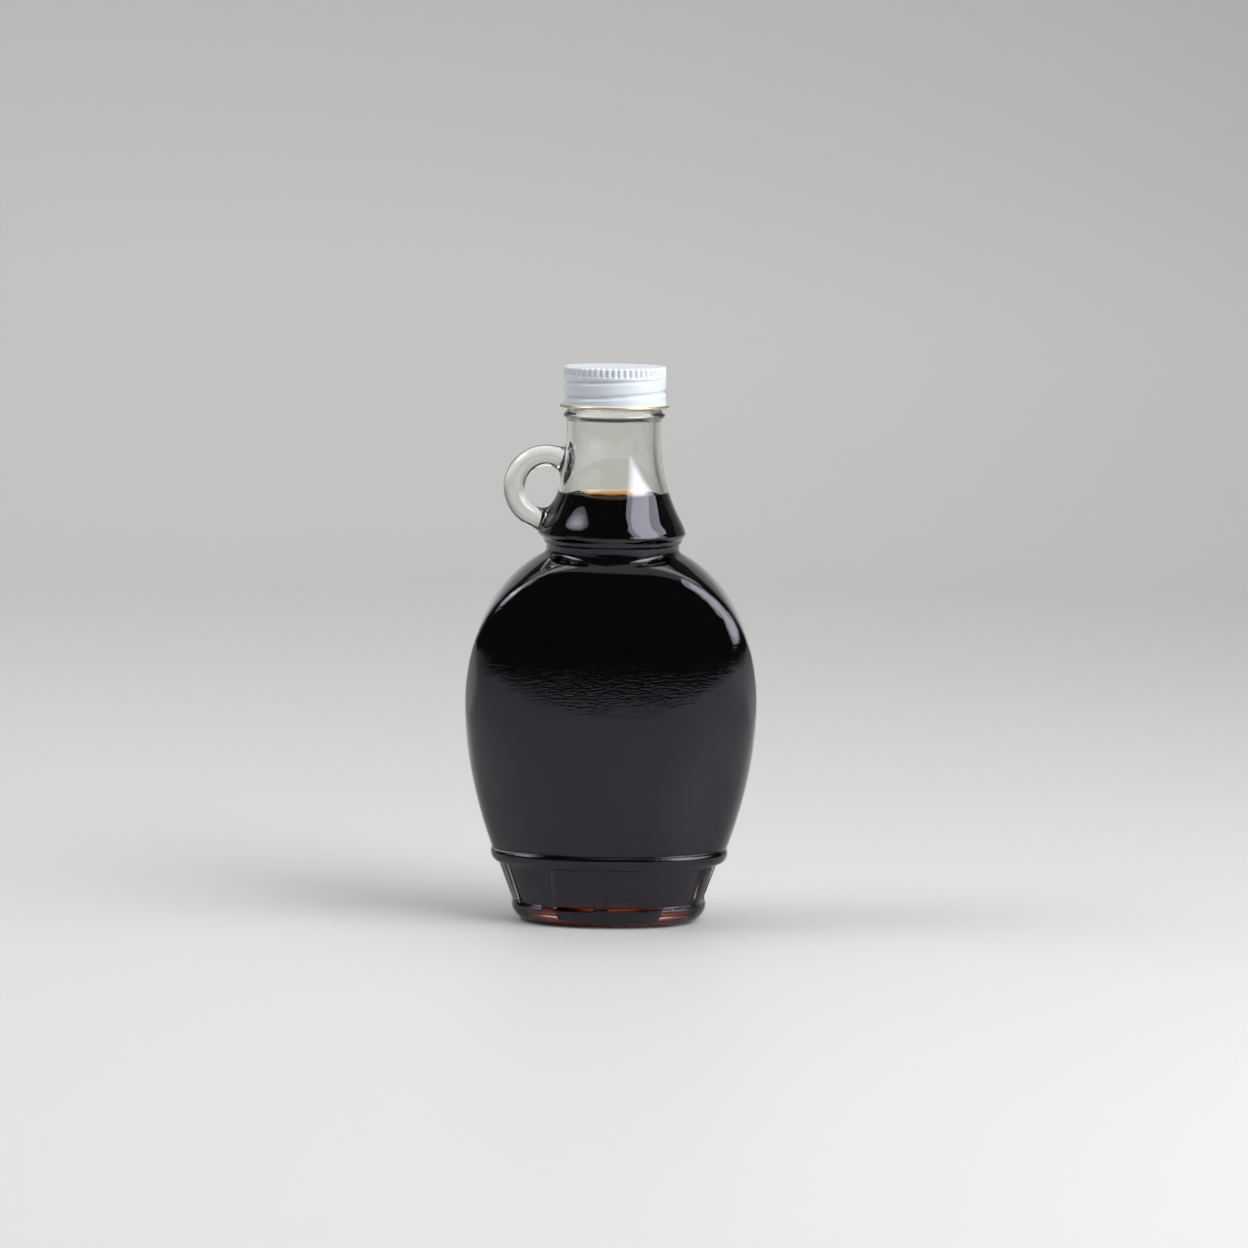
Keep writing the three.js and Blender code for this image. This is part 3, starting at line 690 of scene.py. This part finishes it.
def capTree(enamel, lacquer):
    # knurls pressed round the top edge, and the rolled thread that runs up the skirt as a helix
    tree, given, result = newTree("capKnurlsAndThread",
                                  {name: "NodeSocketFloat" for name in {**knurlSizes, **grooveSizes}})
    ask = given.outputs
    position = addNode(tree, "GeometryNodeInputPosition")
    split = addNode(tree, "ShaderNodeSeparateXYZ", {0: position.outputs[0]})
    height = addNode(tree, "ShaderNodeMath", {0: split.outputs["Z"], 1: 1 / mm}, operation="MULTIPLY")
    angle = addNode(tree, "ShaderNodeMath", {0: split.outputs["Y"], 1: split.outputs["X"]}, operation="ARCTAN2")
    turn = addNode(tree, "ShaderNodeMath", {0: angle.outputs[0], 1: 1 / (2 * math.pi)}, operation="MULTIPLY")
    # knurls: narrow pressed slots, so the wave is raised to a power
    teeth = addNode(tree, "ShaderNodeMath", {0: angle.outputs[0], 1: ask["Count"]}, operation="MULTIPLY")
    wave = addNode(tree, "ShaderNodeMath", {0: teeth.outputs[0]}, operation="COSINE")
    lifted = addNode(tree, "ShaderNodeMath", {0: wave.outputs[0], 1: 0.5, 2: 0.5}, operation="MULTIPLY_ADD")
    slots = addNode(tree, "ShaderNodeMath", {0: lifted.outputs[0], 1: ask["Slot power"]}, operation="POWER")
    topFrom = addNode(tree, "ShaderNodeMath", {0: ask["Top"], 1: ask["Top run"]}, operation="SUBTRACT")
    fromTop = addNode(tree, "ShaderNodeMapRange",
                      {"Value": height.outputs[0], 1: ask["Top"], 2: topFrom.outputs[0]},
                      interpolation_type="SMOOTHSTEP")
    footTo = addNode(tree, "ShaderNodeMath", {0: ask["Foot"], 1: ask["Foot run"]}, operation="ADD")
    fromFoot = addNode(tree, "ShaderNodeMapRange",
                       {"Value": height.outputs[0], 1: ask["Foot"], 2: footTo.outputs[0]},
                       interpolation_type="SMOOTHSTEP")
    inBand = addNode(tree, "ShaderNodeMath", {0: fromTop.outputs[0], 1: fromFoot.outputs[0]},
                     operation="MULTIPLY")
    knurl = addNode(tree, "ShaderNodeMath", {0: inBand.outputs[0], 1: slots.outputs[0]}, operation="MULTIPLY")
    knurlDeep = addNode(tree, "ShaderNodeMath", {0: knurl.outputs[0], 1: ask["Depth"]}, operation="MULTIPLY")
    # thread: distance from the nearest turn of the helix
    above = addNode(tree, "ShaderNodeMath", {0: height.outputs[0], 1: ask["Groove Z"]}, operation="SUBTRACT")
    pitches = addNode(tree, "ShaderNodeMath", {0: above.outputs[0], 1: ask["Pitch"]}, operation="DIVIDE")
    along = addNode(tree, "ShaderNodeMath", {0: pitches.outputs[0], 1: turn.outputs[0]}, operation="SUBTRACT")
    whole = addNode(tree, "ShaderNodeMath", {0: along.outputs[0]}, operation="ROUND")
    away = addNode(tree, "ShaderNodeMath", {0: along.outputs[0], 1: whole.outputs[0]}, operation="SUBTRACT")
    distance = addNode(tree, "ShaderNodeMath", {0: away.outputs[0]}, operation="ABSOLUTE")
    inMm = addNode(tree, "ShaderNodeMath", {0: distance.outputs[0], 1: ask["Pitch"]}, operation="MULTIPLY")
    groove = addNode(tree, "ShaderNodeMapRange",
                     {"Value": inMm.outputs[0], 1: ask["Groove half height"], 2: 0.0},
                     interpolation_type="SMOOTHERSTEP")
    fromEnd = addNode(tree, "ShaderNodeMath", {0: ask["Groove from"], 1: ask["Groove run in"]}, operation="ADD")
    lowEnd = addNode(tree, "ShaderNodeMapRange",
                     {"Value": height.outputs[0], 1: ask["Groove from"], 2: fromEnd.outputs[0]},
                     interpolation_type="SMOOTHSTEP")
    toEnd = addNode(tree, "ShaderNodeMath", {0: ask["Groove to"], 1: ask["Groove run out"]},
                    operation="SUBTRACT")
    highEnd = addNode(tree, "ShaderNodeMapRange",
                      {"Value": height.outputs[0], 1: ask["Groove to"], 2: toEnd.outputs[0]},
                      interpolation_type="SMOOTHSTEP")
    ends = addNode(tree, "ShaderNodeMath", {0: lowEnd.outputs[0], 1: highEnd.outputs[0]}, operation="MULTIPLY")
    cut = addNode(tree, "ShaderNodeMath", {0: groove.outputs[0], 1: ends.outputs[0]}, operation="MULTIPLY")
    total = addNode(tree, "ShaderNodeMath",
                    {0: cut.outputs[0], 1: ask["Groove depth"], 2: knurlDeep.outputs[0]},
                    operation="MULTIPLY_ADD")
    skin = addNode(tree, "GeometryNodeInputNamedAttribute", {"Name": "outerSkin"}, data_type="FLOAT")
    onSkin = addNode(tree, "ShaderNodeMath", {0: total.outputs[0], 1: skin.outputs["Attribute"]},
                     operation="MULTIPLY")
    inwards = addNode(tree, "ShaderNodeMath", {0: onSkin.outputs[0], 1: -mm}, operation="MULTIPLY")
    flat = addNode(tree, "ShaderNodeCombineXYZ", {"X": split.outputs["X"], "Y": split.outputs["Y"]})
    outwards = addNode(tree, "ShaderNodeVectorMath", {0: flat.outputs[0]}, operation="NORMALIZE")
    offset = addNode(tree, "ShaderNodeVectorMath", {0: outwards.outputs[0], "Scale": inwards.outputs[0]},
                     operation="SCALE")
    moved = addNode(tree, "GeometryNodeSetPosition", {"Geometry": ask["Geometry"], "Offset": offset.outputs[0]})
    return closeTree(tree, moved.outputs[0], result, enamel, lacquer)


def makeCap(enamel, lacquer):
    c = SimpleNamespace(**capSizes)
    angle = np.arange(c.sides) / c.sides * 2 * np.pi
    line = capProfile()
    rings = [ringPoints(angle, np.full_like(angle, r), z) for r, z, _ in line]
    hemRows = [hem and line[i + 1][2] for i, (_, _, hem) in enumerate(line[:-1])]
    cap = loftedPiece("screwCap", rings, c.insideTopZ, c.topZ - c.crownDip)
    hemFaces = np.concatenate([[0] * c.sides, np.repeat(hemRows, c.sides), [0] * c.sides]).astype(bool)
    cap.data.attributes.new("hem", "BOOLEAN", "FACE").data.foreach_set("value", hemFaces)
    skin = [float(r > c.radius - c.edge and z > c.footZ + c.hemHeight) for r, z, _ in line]
    onSkin = np.concatenate([np.repeat(skin, c.sides), [0, 0]])
    cap.data.attributes.new("outerSkin", "FLOAT", "POINT").data.foreach_set("value", onSkin)
    addTreeModifier(cap, capTree(enamel, lacquer), {**knurlSizes, **grooveSizes})
    evaluatedMesh(cap)
    cap.data.polygons.foreach_set("use_smooth", [True] * len(cap.data.polygons))
    return cap


# White baked enamel on tinplate: cool white, soft gloss, its tone and gloss varying a little at random
def whiteEnamel():
    material, tree = newMaterial("bakedWhiteEnamel")
    where = addNode(tree, "ShaderNodeTexCoord")
    cloud = addNode(tree, "ShaderNodeTexNoise",
                    {"Vector": where.outputs["Object"], "Scale": 140.0, "Detail": 3.0})
    tone = addNode(tree, "ShaderNodeMix", {0: cloud.outputs[0], 6: linearColour("#cfd6dc"),
                                           7: linearColour("#d9e0e6")}, data_type="RGBA")
    gloss = addNode(tree, "ShaderNodeMapRange", {"Value": cloud.outputs[0], 3: 0.26, 4: 0.36})
    grain = addNode(tree, "ShaderNodeTexNoise",
                    {"Vector": where.outputs["Object"], "Scale": 900.0, "Detail": 2.0})
    bumps = addNode(tree, "ShaderNodeBump", {"Strength": 0.05, "Distance": 0.0005, "Height": grain.outputs[0]})
    shader = addNode(tree, "ShaderNodeBsdfPrincipled",
                     {"Base Color": tone.outputs[2],
                      "Roughness": gloss.outputs[0], "IOR": 1.5, "Coat Weight": 0.3, "Coat Roughness": 0.15,
                      "Normal": bumps.outputs[0]})
    addNode(tree, "ShaderNodeOutputMaterial", {"Surface": shader.outputs[0]})
    return material


# Gold lacquer over tinplate on the curled hem: a dull straw-coloured metal edge
def goldLacquer():
    material, tree = newMaterial("goldLacqueredTinplate")
    where = addNode(tree, "ShaderNodeTexCoord")
    wear = addNode(tree, "ShaderNodeTexNoise",
                   {"Vector": where.outputs["Object"], "Scale": 260.0, "Detail": 3.0})
    tone = addNode(tree, "ShaderNodeMix", {0: wear.outputs[0], 6: linearColour("#b5a883"),
                                           7: linearColour("#d8cfb0")}, data_type="RGBA")
    gloss = addNode(tree, "ShaderNodeMapRange", {"Value": wear.outputs[0], 3: 0.25, 4: 0.4})
    shader = addNode(tree, "ShaderNodeBsdfPrincipled",
                     {"Base Color": tone.outputs[2], "Roughness": gloss.outputs[0], "Metallic": 0.8})
    addNode(tree, "ShaderNodeOutputMaterial", {"Surface": shader.outputs[0]})
    return material


cap = makeCap(whiteEnamel(), goldLacquer())
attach(cap, "root")
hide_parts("cap")
print("cap ready:", len(cap.data.polygons), "faces")

# The studio: paper sweep, soft lights and the photo's camera
studio = {
    "floorFront": -0.92, "evenFrom": -0.6, "floorHalfWidth": 2.0, "bendFrom": 0.9, "bendRadius": 0.35,
    "wallTop": 0.8, "flatRows": 8, "bendRows": 12, "floorColour": "#c6c6c6", "worldLevel": 0.06,
}
lights = {
    "keyRight": {"at": (0.68, -0.455, 0.825), "to": (-0.4, -0.375, 0.605), "size": (1.05, 1.06), "power": 14.0,
                 "roll": 11.0, "colour": "#fafaff"},
    "keyCore": {"at": (0.64, -0.42, 0.70), "to": (-0.4, -0.34, 0.48), "size": (0.50, 0.75), "power": 4.5,
                "roll": 11.0, "colour": "#fdfdff"},
    "topSoft": {"at": (0.1, 0.60, 2.3), "to": (0, 0.55, 0), "size": (4.0, 2.1), "power": 19.5,
                "roll": 0.0, "colour": "#fffdf3"},
    "backWash": {"at": (0.1, 0.70, 2.3), "to": (0, 1.25, 0.6), "size": (3.0, 0.9), "power": 17.0,
                 "roll": 0.0, "colour": "#fffdf8"},
    "floorRight": {"at": (0.85, -0.42, 0.62), "to": (0.85, -0.40, 0), "size": (0.5, 0.5), "power": 4.0,
                   "roll": 0.0, "colour": "#f4f8ff", "spread": 90.0},
}
# the soft light on the left is brightest in its middle: discs of one brightness laid over each other
leftDiscs = {"at": (-0.87, -0.10, 1.02), "to": (0, 0, 0.12), "height": 0.7, "brightness": 1.5, "apart": 0.004,
             "widths": (0.16, 0.26, 0.36, 0.47, 0.59, 0.72, 0.87, 1.04)}
for rank, width in enumerate(leftDiscs["widths"]):
    at = [c * (1 + leftDiscs["apart"] * rank) for c in leftDiscs["at"]]
    size = (width, width * leftDiscs["height"])
    area = math.pi / 4 * size[0] * size[1]
    lights[f"leftDisc{rank}"] = {"at": at, "to": leftDiscs["to"], "size": size, "roll": 0.0,
                                 "colour": "#fafbff", "power": leftDiscs["brightness"] * math.pi * area,
                                 "shape": "ELLIPSE"}
view = {"at": (0.0034, -1.1963, 0.2197), "pitchDown": 6.49, "roll": 0.7, "lens": 124.04, "sensor": 36.0}


def makeFloor():
    # one sweep of paper: flat under the bottle, bent up behind it
    s = SimpleNamespace(**studio)
    line = [(s.floorFront, 0.0)] + [(y, 0.0) for y in np.linspace(s.evenFrom, s.bendFrom, s.flatRows)]
    line += [(s.bendFrom + s.bendRadius * math.sin(a), s.bendRadius * (1 - math.cos(a)))
             for a in np.radians(np.linspace(8, 90, s.bendRows))]
    line += [(s.bendFrom + s.bendRadius, s.wallTop)]
    points = [(x, y, z) for y, z in line for x in (-s.floorHalfWidth, s.floorHalfWidth)]
    faces = [(2 * i, 2 * i + 1, 2 * i + 3, 2 * i + 2) for i in range(len(line) - 1)]
    material, tree = newMaterial("seamlessPaper")
    where = addNode(tree, "ShaderNodeTexCoord")
    fibre = addNode(tree, "ShaderNodeTexNoise",
                    {"Vector": where.outputs["Object"], "Scale": 700.0, "Detail": 2.0})
    bumps = addNode(tree, "ShaderNodeBump", {"Strength": 0.05, "Distance": 0.0005, "Height": fibre.outputs[0]})
    shader = addNode(tree, "ShaderNodeBsdfPrincipled",
                     {"Base Color": linearColour(s.floorColour), "Roughness": 0.5, "Specular IOR Level": 0.4,
                      "Normal": bumps.outputs[0]})
    addNode(tree, "ShaderNodeOutputMaterial", {"Surface": shader.outputs[0]})
    return meshObject("studioFloor", points, faces, materials=[material])


makeFloor()

# each lamp faces its "to" point; sizes are its width and height, power is in watts
for name, light in lights.items():
    data = bpy.data.lights.new(name, "AREA")
    data.shape = light.get("shape", "RECTANGLE")
    data.size, data.size_y = light["size"]
    data.energy = light["power"]
    data.spread = math.radians(light.get("spread", 180.0))
    data.color = linearColour(light["colour"])[:3]
    lamp = bpy.data.objects.new(name, data)
    away = Matrix.Translation(light["at"]).to_translation() - Matrix.Translation(light["to"]).to_translation()
    lamp.matrix_world = (Matrix.Translation(light["at"]) @ away.to_track_quat("Z", "Y").to_matrix().to_4x4()
                         @ Matrix.Rotation(math.radians(light["roll"]), 4, "Z"))
    bpy.context.scene.collection.objects.link(lamp)

scene = bpy.context.scene
world = bpy.data.worlds.new("darkRoom")
scene.world = world
world.use_nodes = True
world.node_tree.nodes.clear()
room = addNode(world.node_tree, "ShaderNodeBackground",
               {"Color": (1, 1, 1, 1), "Strength": studio["worldLevel"]})
addNode(world.node_tree, "ShaderNodeOutputWorld", {"Surface": room.outputs[0]})
scene.view_settings.view_transform = "Standard"

camera = bpy.data.objects.new("photoCamera", bpy.data.cameras.new("photoCamera"))
camera.data.lens, camera.data.sensor_width = view["lens"], view["sensor"]
camera.data.clip_start = 0.05
tilt = Matrix.Rotation(math.radians(90 - view["pitchDown"]), 4, "X")
camera.matrix_world = (Matrix.Translation(view["at"]) @ tilt
                       @ Matrix.Rotation(math.radians(view["roll"]), 4, "Z"))
scene.collection.objects.link(camera)
scene.camera = camera
print("studio ready")
